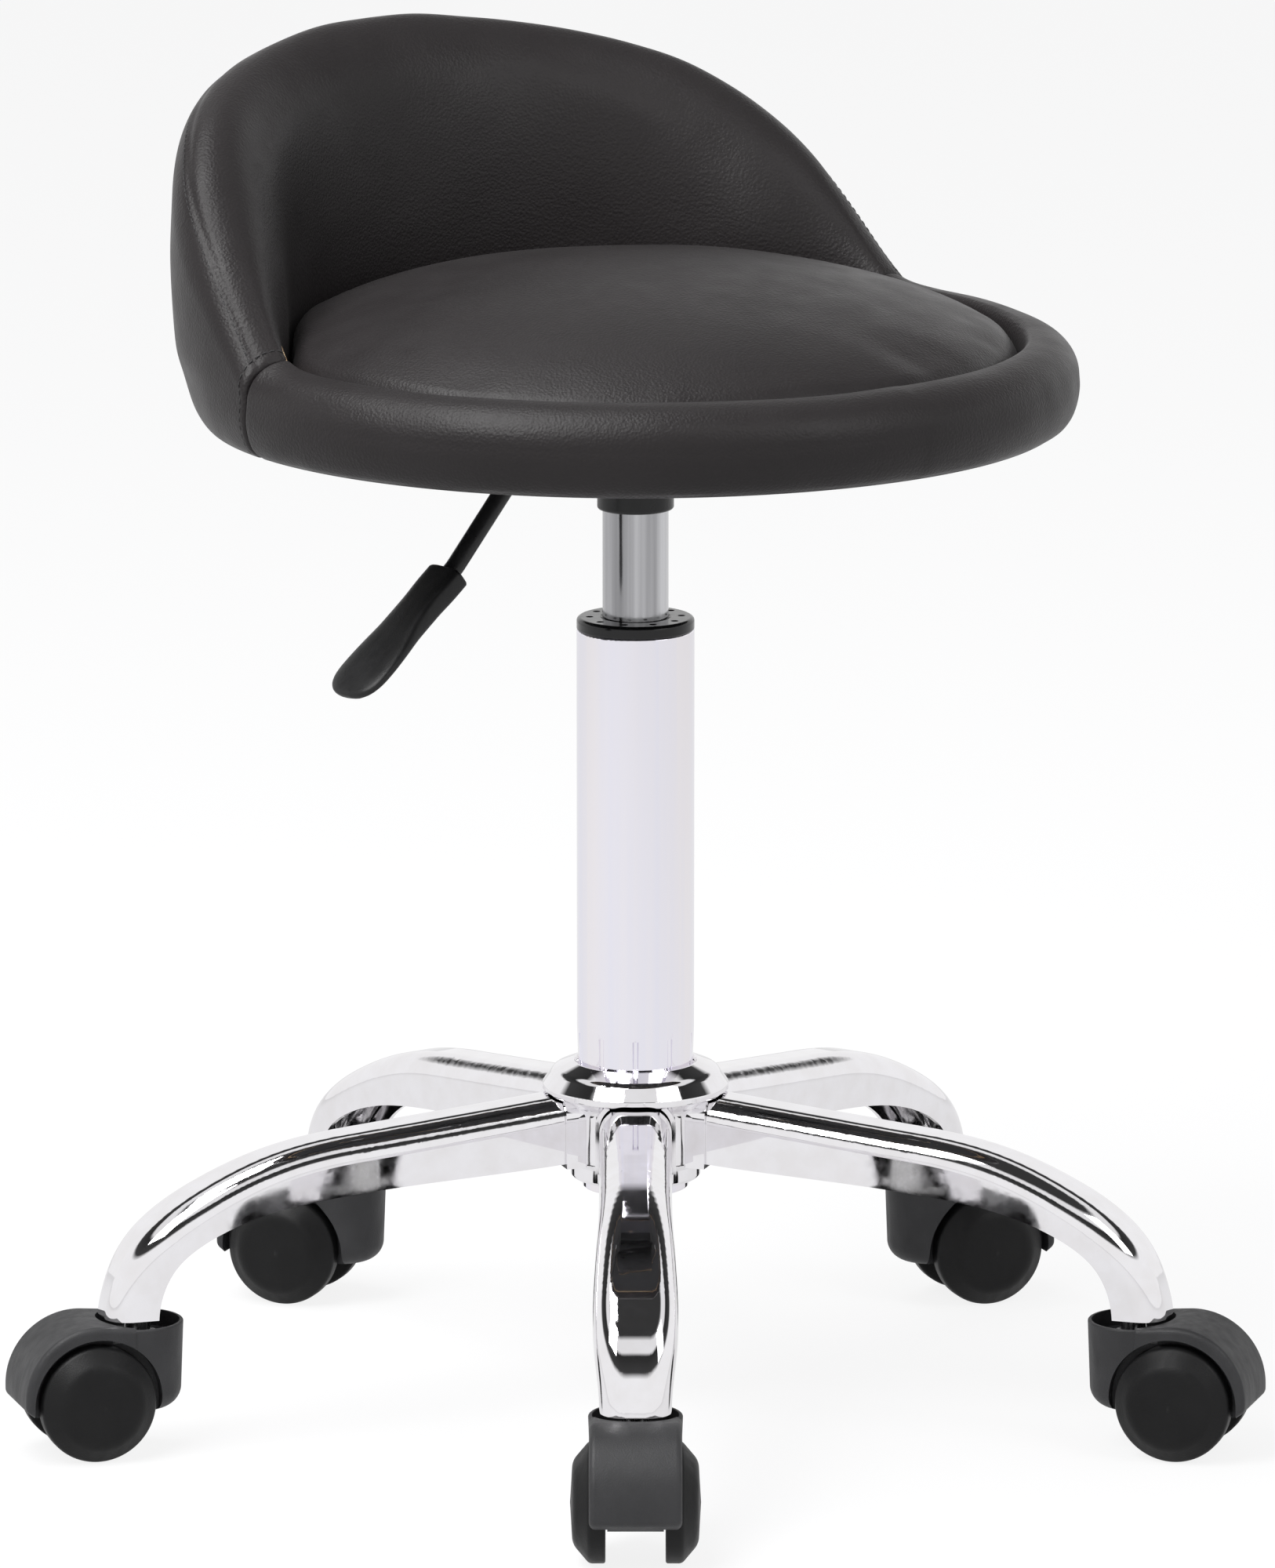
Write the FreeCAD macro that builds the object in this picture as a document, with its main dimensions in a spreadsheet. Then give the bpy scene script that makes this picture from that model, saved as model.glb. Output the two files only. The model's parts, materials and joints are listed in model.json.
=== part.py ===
"""Adjustable swivel stool: five-arm caster base, gas spring, upholstered round seat with a wrapped back.

Frame: millimetres, origin on the floor under the column, +Z up, the seat faces -Y.
"""
import math
import os
import re

import FreeCAD
import Part
import Sketcher
from FreeCAD import Placement, Rotation, Vector

UP = Vector(0, 0, 1)

SIZES = {
    # base
    "arm_count": 5,
    "first_arm_angle": -130,
    "hub_bottom": 102,
    "hub_top": 152.8,
    "hub_flange_height": 142.8,
    "hub_flange_radius": 39.8,
    "hub_body_radius": 32.6,
    "hub_body_bottom": 110,
    "hub_boss_radius": 27.8,
    "hub_lip_width": 1.2,
    "collar_reach": 3.6,
    "collar_wall": 1.9,
    "fit": 0.05,
    "running": 0.1,
    "gap": 0.3,
    # arms
    "arm_root_radius": 29,
    "arm_root_height": 141,
    "arm_slope": 5.8,
    "arm_bend_start": 134,
    "arm_upper_bend": 167,
    "arm_shoulder_angle": 35,
    "arm_lower_bend": 57,
    "arm_end_height": 58.5,
    "arm_root_width": 30.6,
    "arm_shoulder_width": 35.2,
    "arm_end_width": 29.4,
    "arm_root_depth": 27.5,
    "arm_bend_depth": 24,
    "arm_shoulder_depth": 17.5,
    "arm_end_depth": 21,
    "arm_corner": 10.5,
    "arm_wall": 2,
    # column
    "column_diameter": 50,
    "column_wall": 2,
    "column_top": 340.2,
    "column_foot": 97.5,
    "column_foot_diameter": 45.4,
    "taper_top": 168,
    "flute_count": 10,
    "flute_width": 2.4,
    "flute_depth": 0.9,
    "flute_height": 15,
    "floor_height": 103,
    "floor_thickness": 4,
    "bush_collar": 5.3,
    "bush_length": 78,
    # gas spring
    "cylinder_diameter": 28,
    "cylinder_wall": 2,
    "cylinder_bottom": 205,
    "cylinder_top": 414,
    "cylinder_taper": 1.4,
    "cylinder_plug": 14,
    "rod_diameter": 10,
    "rod_foot": 98.8,
    "rod_groove_depth": 1,
    "piston_height": 330,
    "piston_thickness": 12,
    "spigot_diameter": 7,
    "gland_thickness": 13,
    "valve_diameter": 6,
    "valve_reach": 5.5,
    "race_diameter": 27,
    "race_thickness": 2,
    "ball_diameter": 5,
    "ball_count": 10,
    "ball_circle": 20,
    "clip_diameter": 15,
    "clip_thickness": 1.2,
    # seat mechanism
    "socket_diameter": 32.5,
    "socket_bottom": 392,
    "socket_top": 412,
    "dish_length": 70,
    "dish_width": 50,
    "dish_bottom": 409,
    "plate_length": 150,
    "plate_width": 130,
    "plate_thickness": 3,
    "screw_diameter": 6,
    "screw_inset": 11,
    "screw_head": 11,
    "screw_head_height": 3,
    "nut_sleeve": 8,
    "nut_flange": 20,
    "nut_flange_thickness": 1.2,
    # lever
    "lever_diameter": 8,
    "lever_height": 424,
    "lever_pivot": 25,
    "lever_inner_end": 4,
    "lever_corner": 58,
    "lever_bend": 12,
    "lever_drop": 48,
    "lever_slant": 61.2,
    "pivot_diameter": 4,
    "paddle_drop": 38.5,
    "paddle_start": 3,
    "paddle_length": 72,
    "paddle_width": 27,
    "paddle_neck": 19,
    "paddle_thickness": 10.4,
    "paddle_blade": 5.6,
    "paddle_lap": 24,
    # seat
    "board_radius": 160,
    "board_bottom": 436,
    "board_thickness": 12,
    "cushion_radius": 162,
    "cushion_edge": 466,
    "cushion_crown": 499,
    "rim_radius": 187,
    "rim_inner": 162.5,
    "rim_bottom": 430,
    "rim_top": 467.5,
    "back_half_angle": 80,
    "back_inner_low": 140,
    "back_inner_high": 160,
    "shell_inner": 160.6,
    "shell_thickness": 8,
    "shell_lean": 4,
    "back_outer_low": 184,
    "back_outer": 195.5,
    "back_top": 583,
    "back_corner_y": 121,
    "back_corner_height": 560,
    "back_side_slope": 44.6,
    "back_round": 90,
    "cover_thickness": 0.8,
    "back_screw_count": 5,
    "back_screw_diameter": 5,
    "back_screw_length": 26,
    # casters
    "stem_circle": 221.6,
    "trail": 22,
    "rear_swivel": 34,
    "wheel_radius": 25,
    "wheel_inner": 12.3,
    "wheel_tread": 19,
    "wheel_outer": 26.8,
    "axle_diameter": 6,
    "axle_half": 23,
    "stem_diameter": 11,
    "stem_top": 73,
    "stem_foot": 24,
    "stem_flange": 16,
    "stem_play": 0.5,
    "foot_plate": 3,
    "socket_wall": 2.7,
    "socket_dome": 77,
    "hood_radius": 19.5,
    "hood_half_width": 19,
    "hood_edge": 2.6,
    "hood_rim": 56,
    "hood_bottom": 18.5,
    "hood_web": 11.5,
    "hood_wall": 1.6,
    "mouth_depth": 7,
    "fender_reach": 53.5,
    "fender_start": 4,
    "fender_top": 61.5,
    "fender_round": 30.5,
    "fender_lip": 19.5,
    "arch_radius": 28,
}

doc = FreeCAD.newDocument("SwivelStool")
sheet = doc.addObject("Spreadsheet::Sheet", "Sizes")
for row, (alias, number) in enumerate(SIZES.items(), start=1):
    sheet.set(f"A{row}", alias)
    sheet.set(f"B{row}", str(number))
    sheet.setAlias(f"B{row}", alias)
doc.recompute()


# ---------------------------------------------------------------- helpers

def formula(text):
    """Turn a formula of size names into an expression that reads the sheet."""
    def cell(word):
        return f"Sizes.{word.group()}" if word.group() in SIZES else word.group()

    return re.sub(r"[a-z_]+", cell, text)


def value(text):
    """Number that a formula of size names gives now."""
    return float(sheet.evalExpression(formula(text)))


def new_body(label):
    body = doc.addObject("PartDesign::Body", label)
    body.Label = label
    return body


def new_sketch(body, plane, offset=None):
    """Sketch on one of the body's own origin planes, moved and turned by offset in the plane's frame."""
    sketch = body.newObject("Sketcher::SketchObject", f"{body.Name}_sketch")
    support = next(item for item in body.Origin.OriginFeatures if item.Role == f"{plane}_Plane")
    sketch.AttachmentSupport = [(support, "")]
    sketch.MapMode = "FlatFace"
    if offset is not None:
        sketch.AttachmentOffset = offset
    return sketch


def bind(sketch, kind, elements, text):
    """Add a dimension to a sketch and bind it to a formula."""
    index = sketch.addConstraint(Sketcher.Constraint(kind, *elements, value(text)))
    sketch.setExpression(f"Constraints[{index}]", formula(text))


def fix_point(sketch, geometry, position, x, y):
    """Hold a point of a sketch at the place that two formulas give."""
    bind(sketch, "DistanceX", (-1, 1, geometry, position), x)
    bind(sketch, "DistanceY", (-1, 1, geometry, position), y)


def outline(sketch, corners, closed=True):
    """Line through corners (x, y) or (x, y, rounding), each a formula of the sheet, closed or open."""
    places = [Vector(value(corner[0]), value(corner[1]), 0) for corner in corners]
    count = len(corners)
    starts, ends, rounds = [], [], []
    for index, corner in enumerate(corners):
        place = places[index]
        radius = value(corner[2]) if len(corner) > 2 else 0
        back = (places[index - 1] - place).normalize()
        ahead = (places[(index + 1) % count] - place).normalize()
        if radius:
            half = back.getAngle(ahead) / 2
            reach = radius / math.tan(half)
            centre = place + (back + ahead).normalize() * (radius / math.sin(half))
            rounds.append((centre, back.cross(ahead).z < 0))
        else:
            reach = 0
            rounds.append(None)
        ends.append(place + back * reach)
        starts.append(place + ahead * reach)
    lines = [
        sketch.addGeometry(Part.LineSegment(starts[index], ends[(index + 1) % count]), False)
        for index in range(count if closed else count - 1)
    ]
    if not closed:
        fix_point(sketch, lines[0], 1, *corners[0])
        fix_point(sketch, lines[-1], 2, *corners[-1])
    for index in range(0 if closed else 1, len(lines)):
        corner, before, after = corners[index], lines[index - 1], lines[index]
        if rounds[index] is None:
            sketch.addConstraint(Sketcher.Constraint("Coincident", before, 2, after, 1))
            fix_point(sketch, after, 1, corner[0], corner[1])
            continue
        centre, turns_left = rounds[index]
        first, last = (ends[index], starts[index]) if turns_left else (starts[index], ends[index])
        circle = Part.Circle(centre, UP, value(corner[2]))
        part_circle = Part.ArcOfCircle(circle, circle.parameter(first), circle.parameter(last))
        arc = sketch.addGeometry(part_circle, False)
        entry, leave = (1, 2) if turns_left else (2, 1)
        point = sketch.addGeometry(Part.Point(places[index]), True)
        fix_point(sketch, point, 1, corner[0], corner[1])
        sketch.addConstraint(Sketcher.Constraint("PointOnObject", point, 1, before))
        sketch.addConstraint(Sketcher.Constraint("PointOnObject", point, 1, after))
        sketch.addConstraint(Sketcher.Constraint("Tangent", before, 2, arc, entry))
        sketch.addConstraint(Sketcher.Constraint("Tangent", arc, leave, after, 1))
        bind(sketch, "Radius", (arc,), corner[2])


def circles(sketch, places, diameter):
    """Circles of one diameter at places (x, y), all formulas of the sheet."""
    for x, y in places:
        outer = Part.Circle(Vector(value(x), value(y), 0), UP, value(diameter) / 2)
        circle = sketch.addGeometry(outer, False)
        fix_point(sketch, circle, 3, x, y)
        bind(sketch, "Diameter", (circle,), diameter)


def corners_of(length, width, x="0"):
    """Rectangle about (x, 0), as outline corners."""
    return [
        (f"{x} - ({length}) / 2", f"-({width}) / 2"),
        (f"{x} + ({length}) / 2", f"-({width}) / 2"),
        (f"{x} + ({length}) / 2", f"({width}) / 2"),
        (f"{x} - ({length}) / 2", f"({width}) / 2"),
    ]


def feature(body, kind, sketch, **settings):
    """PartDesign feature made from a sketch, with its change of volume checked."""
    before = body.Shape.Volume if body.Tip else 0
    made = body.newObject(f"PartDesign::{kind}", f"{body.Name}_{kind}")
    made.Profile = sketch
    for name, setting in settings.items():
        if isinstance(setting, str) and name in ("Length", "Length2", "Angle"):
            made.setExpression(name, formula(setting))
        else:
            setattr(made, name, setting)
    sketch.Visibility = False
    doc.recompute()
    grows = kind in ("Pad", "Revolution")
    if (body.Shape.Volume > before) != grows:
        raise RuntimeError(f"{made.Name} doesn't change {body.Label}")
    return made


def lift(height):
    """Offset that raises a sketch on the XY plane to a height."""
    return Placement(Vector(0, 0, value(height)), Rotation())


def raised_sketch(body, height):
    """Sketch on the XY plane at a height that stays bound to the sheet."""
    sketch = new_sketch(body, "XY", lift(height))
    sketch.setExpression("AttachmentOffset.Base.z", formula(height))
    return sketch


def turned(label, corners, axis="V_Axis", plane="XZ", **settings):
    """Body turned about the Z axis, or about the Y axis in the YZ plane."""
    body = new_body(label)
    sketch = new_sketch(body, plane)
    outline(sketch, corners)
    feature(body, "Revolution", sketch, ReferenceAxis=(sketch, [axis]), **settings)
    return body


def pad(body, height, corners, length, **settings):
    """Upright pad from an outline at a height."""
    sketch = raised_sketch(body, height)
    outline(sketch, corners)
    return feature(body, "Pad", sketch, Length=length, **settings)


def drill(body, height, places, diameter, length, **settings):
    """Upright round holes going down from a height."""
    sketch = raised_sketch(body, height)
    circles(sketch, places, diameter)
    return feature(body, "Pocket", sketch, Length=length, **settings)


def repeat_around(body, original, count):
    """Polar pattern of one feature about the Z axis."""
    pattern = body.newObject("PartDesign::PolarPattern", f"{body.Name}_pattern")
    pattern.Originals = [original]
    pattern.Axis = z_axis(body)
    pattern.Angle = 360
    pattern.setExpression("Occurrences", formula(count))
    body.Tip = pattern
    doc.recompute()
    return pattern


def z_axis(body):
    return next(item for item in body.Origin.OriginFeatures if item.Role == "Z_Axis"), [""]


def round_edges(body, radius, chosen):
    """Fillet on the body's edges for which chosen(edge) is true."""
    names = [f"Edge{number}" for number, edge in enumerate(body.Shape.Edges, start=1) if chosen(edge)]
    if not names:
        raise RuntimeError(f"no edge to round on {body.Label}")
    base = body.Tip
    rounded = body.newObject("PartDesign::Fillet", f"{body.Name}_fillet")
    rounded.Base = (base, names)
    rounded.setExpression("Radius", formula(radius))
    doc.recompute()


def arm_angles():
    count = int(value("arm_count"))
    return [value("first_arm_angle") + 360 / count * index for index in range(count)]


def rest_swivel(number):
    """How far a caster stands turned from the straight-out direction: only the two rear ones do."""
    return {3: -1, 4: 1}.get(number, 0) * value("rear_swivel")


def at_stem(body, number, angle, out="0", height="0"):
    """Put a body made about the stem's foot at the end of its arm, with the caster's own swivel."""
    stem = Rotation(UP, angle).multVec(Vector(value("stem_circle"), 0, value(height)))
    turn = Rotation(UP, angle + rest_swivel(number))
    body.Placement = Placement(stem + turn.multVec(Vector(value(out), 0, 0)), turn)


def solids_group(label, shapes):
    """Node that holds a group of identical separate pieces."""
    group = doc.addObject("Part::Feature", label)
    group.Label = label
    group.Shape = Part.Compound(shapes)
    return group


# ---------------------------------------------------------------- base

COLUMN_RADIUS = "column_diameter / 2"
FOOT_RADIUS = "column_foot_diameter / 2"
TAPER = f"(({COLUMN_RADIUS}) - ({FOOT_RADIUS})) / (taper_top - column_foot)"


def column_radius_at(height):
    """Outer radius of the column's tapered foot at a height, as a formula."""
    return f"{FOOT_RADIUS} + ({height} - column_foot) * {TAPER}"


def base_hub():
    """Hub with a flange, one arched collar for each arm and a tapered bore."""
    bore_low = f"{column_radius_at('hub_bottom')} + fit"
    bore_high = f"{column_radius_at('hub_top - 3')} + fit"
    body = turned("base_hub", [
        (bore_low, "hub_bottom"),
        ("hub_boss_radius", "hub_bottom", "1.5"),
        ("hub_boss_radius", "hub_body_bottom - 1", "0.6"),
        ("hub_body_radius", "hub_body_bottom", "3"),
        ("hub_body_radius", "hub_flange_height - 7", "5"),
        ("hub_flange_radius", "hub_flange_height - 2.4", "0.8"),
        ("hub_flange_radius", "hub_flange_height", "1"),
        ("hub_flange_radius - 4.5", "hub_top - 3.4", "5"),
        (f"{COLUMN_RADIUS} + hub_lip_width * 1.6", "hub_top", "0.7"),
        (f"{COLUMN_RADIUS} + hub_lip_width", "hub_top"),
        (bore_high, "hub_top - 3"),
    ])
    side = new_sketch(body, "YZ", Placement(Vector(0, 0, value("hub_boss_radius")), Rotation()))
    side.setExpression("AttachmentOffset.Base.z", formula("hub_boss_radius"))
    outline(side, arch_corners("collar_wall"))
    reach = "hub_body_radius + collar_reach - hub_boss_radius"
    collar = feature(body, "Pad", side, Length=reach)
    repeat_around(body, collar, "arm_count")
    seat_start = "arm_root_radius - arm_root_depth * sin(arm_slope) - fit"
    seat = new_sketch(body, "YZ", Placement(Vector(0, 0, value(seat_start)), Rotation()))
    seat.setExpression("AttachmentOffset.Base.z", formula(seat_start))
    outline(seat, arch_corners("fit"))
    slot = feature(body, "Pocket", seat, Length="hub_body_radius", Reversed=True)
    repeat_around(body, slot, "arm_count")
    body.Placement = Placement(Vector(), Rotation(UP, value("first_arm_angle")))
    return body


def ridge_height(radius):
    """Height of the arm's ridge at a radius on its straight run, as a formula."""
    return f"arm_root_height - ({radius} - arm_root_radius) * tan(arm_slope)"


def arch_corners(margin):
    """Arch as wide as the arm's root with a margin, seen along the arm."""
    half = f"arm_root_width / 2 + {margin}"
    top = f"arm_root_height + {margin}"
    bottom = f"{ridge_height('hub_body_radius + collar_reach')} - arm_root_depth - {margin}"
    return [
        (f"-({half})", bottom),
        (half, bottom),
        (half, top, f"arm_corner + {margin}"),
        (f"-({half})", top, f"arm_corner + {margin}"),
    ]


LEVEL_STEPS = 7
BEND_STEPS = 4
DOME_SHARE = 0.7


def arm_stations():
    """Places along the arm's ridge: radius, height, slope below level, run number and share of the run."""
    slope, shoulder = value("arm_slope"), value("arm_shoulder_angle")
    upper, lower = value("arm_upper_bend"), value("arm_lower_bend")
    root, start = value("arm_root_radius"), value("arm_bend_start")
    stations = []
    for step in range(LEVEL_STEPS + 1):
        share = step / LEVEL_STEPS
        radius = root + (start - root) * share
        height = value("arm_root_height") - (radius - root) * math.tan(math.radians(slope))
        stations.append((radius, height, slope, 0, share))
    bends = ((slope, shoulder, upper, BEND_STEPS, 1), (shoulder, 90, lower, BEND_STEPS, 2))
    for first, last, bend, steps, part in bends:
        from_radius, from_height = stations[-1][0], stations[-1][1]
        for step in range(1, steps + 1):
            angle = first + (last - first) * step / steps
            radius = from_radius + bend * (math.sin(math.radians(angle)) - math.sin(math.radians(first)))
            height = from_height - bend * (math.cos(math.radians(first)) - math.cos(math.radians(angle)))
            stations.append((radius, height, angle, part, step / steps))
    return stations


def blend(first, last, share):
    """Formula that goes smoothly from one size to another."""
    eased = share * share * (3 - 2 * share)
    return f"({first} + ({last} - {first}) * {eased:.4f})"


def arm(number, angle):
    """Pressed channel, open below, lofted along a line that runs level and then bends down."""
    body = new_body(f"arm_{number}")
    sections = []
    for radius, height, slope, part, share in arm_stations():
        if part == 0:
            width, depth = "arm_root_width", blend("arm_root_depth", "arm_bend_depth", share)
        elif part == 1:
            width = blend("arm_root_width", "arm_shoulder_width", share)
            depth = blend("arm_bend_depth", "arm_shoulder_depth", share)
        else:
            width = blend("arm_shoulder_width", "arm_end_width", share)
            depth = blend("arm_shoulder_depth", "arm_end_depth", share)
        tilt = Rotation(Vector(1, 0, 0), slope)
        section = new_sketch(body, "YZ", Placement(Vector(0, height, radius), tilt))
        half, low = f"{width} / 2", f"-{depth}"
        inner, ceiling = f"{half} - arm_wall", "-arm_wall"
        outline(section, [
            (f"-{half}", low),
            (f"-({inner})", low),
            (f"-({inner})", ceiling, "arm_corner - arm_wall"),
            (inner, ceiling, "arm_corner - arm_wall"),
            (inner, low),
            (half, low),
            (half, "0", "arm_corner"),
            (f"-{half}", "0", "arm_corner"),
        ])
        sections.append(section)
    loft = body.newObject("PartDesign::AdditiveLoft", f"{body.Name}_loft")
    loft.Profile = sections[0]
    loft.Sections = sections[1:]
    loft.Ruled = False
    doc.recompute()
    below = raised_sketch(body, "arm_end_height")
    outline(below, corners_of("60", "60", "stem_circle"))
    feature(body, "Pocket", below, Length="40")
    body.Placement = Placement(Vector(), Rotation(UP, angle))
    return body


def stem_sockets():
    """Round bush with a domed top in each arm end, on a foot plate that fills the channel."""
    shapes = []
    outer = value("stem_diameter / 2 + running + socket_wall")
    bore = value("stem_diameter / 2 + running")
    foot, dome = value("arm_end_height"), value("socket_dome")
    inner_half = value("arm_end_width / 2 - arm_wall - gap")
    front = arm_stations()[-1][0] - value("stem_circle + arm_wall + gap * 2")
    back = front - value("arm_end_depth - arm_wall") + value("foot_plate")
    for angle in arm_angles():
        bush = Part.makeCylinder(outer, dome - foot, Vector(0, 0, foot))
        top_edges = [edge for edge in bush.Edges if edge.BoundBox.ZMin > dome - 0.01]
        bush = bush.makeFillet(outer * DOME_SHARE, top_edges)
        plate_size = (front - back, inner_half * 2, value("foot_plate"))
        plate = Part.makeBox(*plate_size, Vector(back, -inner_half, foot))
        corner_edges = [edge for edge in plate.Edges if edge.BoundBox.ZLength > 2 and edge.BoundBox.XMin > 0]
        plate = plate.makeFillet(value("arm_corner - arm_wall"), corner_edges)
        drill_hole = Part.makeCylinder(bore, value("stem_top + stem_play") - foot, Vector(0, 0, foot))
        shape = bush.fuse(plate).cut(drill_hole).removeSplitter()
        turn = Rotation(UP, angle)
        shape.Placement = Placement(turn.multVec(Vector(value("stem_circle"), 0, 0)), turn)
        shapes.append(shape)
    return solids_group("stem_sockets", shapes)


def column_tube():
    """Chrome tube with a tapered, fluted foot."""
    inner = "- column_wall"
    body = turned("column_tube", [
        (f"{FOOT_RADIUS} {inner}", "column_foot"),
        (FOOT_RADIUS, "column_foot", "0.8"),
        (COLUMN_RADIUS, "taper_top"),
        (COLUMN_RADIUS, "column_top", "0.8"),
        (f"{COLUMN_RADIUS} {inner}", "column_top"),
        (f"{COLUMN_RADIUS} {inner}", "taper_top"),
    ])
    sketch = raised_sketch(body, "hub_top - 2")
    flute_centre = f"{column_radius_at('hub_top')} + flute_width / 2 - flute_depth"
    circles(sketch, [(flute_centre, "0")], "flute_width")
    flute = feature(body, "Pocket", sketch, Length="flute_height", Reversed=True)
    repeat_around(body, flute, "flute_count")
    body.Placement = Placement(Vector(), Rotation(UP, value("first_arm_angle")))
    return body


def column_bush():
    """Plastic guide for the gas cylinder, with a collar on the tube's top."""
    bore = "cylinder_diameter / 2 + running"
    sleeve = f"{COLUMN_RADIUS} - column_wall - fit"
    body = turned("column_bush", [
        (bore, "column_top - bush_length"),
        (sleeve, "column_top - bush_length", "1"),
        (sleeve, "column_top"),
        (COLUMN_RADIUS, "column_top", "0.6"),
        (COLUMN_RADIUS, "column_top + bush_collar", "1.8"),
        (f"{bore} + 1", "column_top + bush_collar"),
        (bore, "column_top + bush_collar - 1"),
    ])
    sketch = raised_sketch(body, "column_top + bush_collar")
    circles(sketch, [("column_diameter / 2 - 5.5", "0")], "3.2")
    notch = feature(body, "Pocket", sketch, Length="1.4")
    repeat_around(body, notch, "flute_count")
    return body


FLOOR_TOP = "floor_height + floor_thickness"
BEARING_TOP = f"{FLOOR_TOP} + race_thickness + ball_diameter"


def column_floor():
    """Plate pressed into the column's foot, which carries the thrust bearing."""
    return turned("column_floor", [
        ("rod_diameter / 2 + running", "floor_height"),
        (f"{column_radius_at('floor_height')} - column_wall - fit", "floor_height"),
        (f"{column_radius_at('floor_height')} - column_wall - fit", FLOOR_TOP),
        ("rod_diameter / 2 + running", FLOOR_TOP),
    ])


def race(label, bottom, bore):
    return turned(label, [
        (bore, bottom),
        ("race_diameter / 2", bottom),
        ("race_diameter / 2", f"{bottom} + race_thickness"),
        (bore, f"{bottom} + race_thickness"),
    ])


def bearing_balls():
    """Full ring of balls between the two races."""
    count = int(value("ball_count"))
    height = value(f"{FLOOR_TOP} + race_thickness + ball_diameter / 2")
    radius, circle = value("ball_diameter / 2") - 0.01, value("ball_circle / 2")
    shapes = []
    for index in range(count):
        turn = math.radians(360 / count * index)
        centre = Vector(circle * math.cos(turn), circle * math.sin(turn), height)
        shapes.append(Part.makeSphere(radius, centre))
    return solids_group("bearing_balls", shapes)


# ---------------------------------------------------------------- gas spring

def piston_rod():
    """Rod with a shoulder on the upper race, a clip groove at its foot and a spigot for the piston."""
    radius = "rod_diameter / 2"
    groove = f"{radius} - rod_groove_depth"
    groove_low = "floor_height - clip_thickness - 0.2"
    return turned("piston_rod", [
        ("0", "rod_foot"),
        (radius, "rod_foot"),
        (radius, groove_low),
        (groove, groove_low),
        (groove, "floor_height - 0.2"),
        (radius, "floor_height - 0.2"),
        (radius, f"{BEARING_TOP} + race_thickness"),
        (f"{radius} + 2.5", f"{BEARING_TOP} + race_thickness"),
        (f"{radius} + 2.5", f"{BEARING_TOP} + race_thickness + 3", "1"),
        (radius, f"{BEARING_TOP} + race_thickness + 3"),
        (radius, "piston_height"),
        ("spigot_diameter / 2", "piston_height"),
        ("spigot_diameter / 2", "piston_height + piston_thickness + 2"),
        ("0", "piston_height + piston_thickness + 2"),
    ])


def rod_clip():
    """Split ring in the rod's groove, under the column floor."""
    body = turned("rod_clip", [
        ("rod_diameter / 2 - rod_groove_depth + fit", "floor_height - clip_thickness - 0.15"),
        ("clip_diameter / 2", "floor_height - clip_thickness - 0.15"),
        ("clip_diameter / 2", "floor_height - 0.25"),
        ("rod_diameter / 2 - rod_groove_depth + fit", "floor_height - 0.25"),
    ])
    sketch = raised_sketch(body, "floor_height")
    outline(sketch, corners_of("clip_diameter", "rod_diameter / 2", "clip_diameter / 2"))
    feature(body, "Pocket", sketch, Length="clip_thickness * 2")
    return body


def piston():
    return turned("piston", [
        ("spigot_diameter / 2 + fit", "piston_height"),
        ("cylinder_diameter / 2 - cylinder_wall - running", "piston_height", "0.8"),
        ("cylinder_diameter / 2 - cylinder_wall - running", "piston_height + piston_thickness", "0.8"),
        ("spigot_diameter / 2 + fit", "piston_height + piston_thickness"),
    ])


def gas_cylinder():
    """Polished tube with a plugged, tapered top that sits in the seat's socket."""
    outer, inner = "cylinder_diameter / 2", "cylinder_diameter / 2 - cylinder_wall"
    valve_bore = "valve_diameter / 2 + running"
    return turned("gas_cylinder", [
        (inner, "cylinder_bottom"),
        (outer, "cylinder_bottom", "0.6"),
        (outer, "socket_bottom"),
        (f"{outer} - cylinder_taper", "cylinder_top", "1"),
        (valve_bore, "cylinder_top"),
        (valve_bore, "cylinder_top - cylinder_plug"),
        (inner, "cylinder_top - cylinder_plug"),
    ])


def rod_gland():
    return turned("rod_gland", [
        ("rod_diameter / 2 + running", "cylinder_bottom + 1"),
        ("cylinder_diameter / 2 - cylinder_wall - fit", "cylinder_bottom + 1"),
        ("cylinder_diameter / 2 - cylinder_wall - fit", "cylinder_bottom + 1 + gland_thickness"),
        ("rod_diameter / 2 + running", "cylinder_bottom + 1 + gland_thickness"),
    ])


def valve_pin():
    """Release pin that stands out of the cylinder's top, under the lever's inner end."""
    return turned("valve_pin", [
        ("0", "cylinder_top - cylinder_plug + 3"),
        ("valve_diameter / 2", "cylinder_top - cylinder_plug + 3"),
        ("valve_diameter / 2", "cylinder_top + valve_reach", "0.8"),
        ("0", "cylinder_top + valve_reach"),
    ])


# ---------------------------------------------------------------- seat mechanism

PLATE_BOTTOM = "board_bottom - plate_thickness"
SCREW_X = "plate_length / 2 - screw_inset"
SCREW_Y = "plate_width / 2 - screw_inset"
SCREW_PLACES = [(f"{x}({SCREW_X})", f"{y}({SCREW_Y})") for x in ("", "-") for y in ("", "-")]


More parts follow.
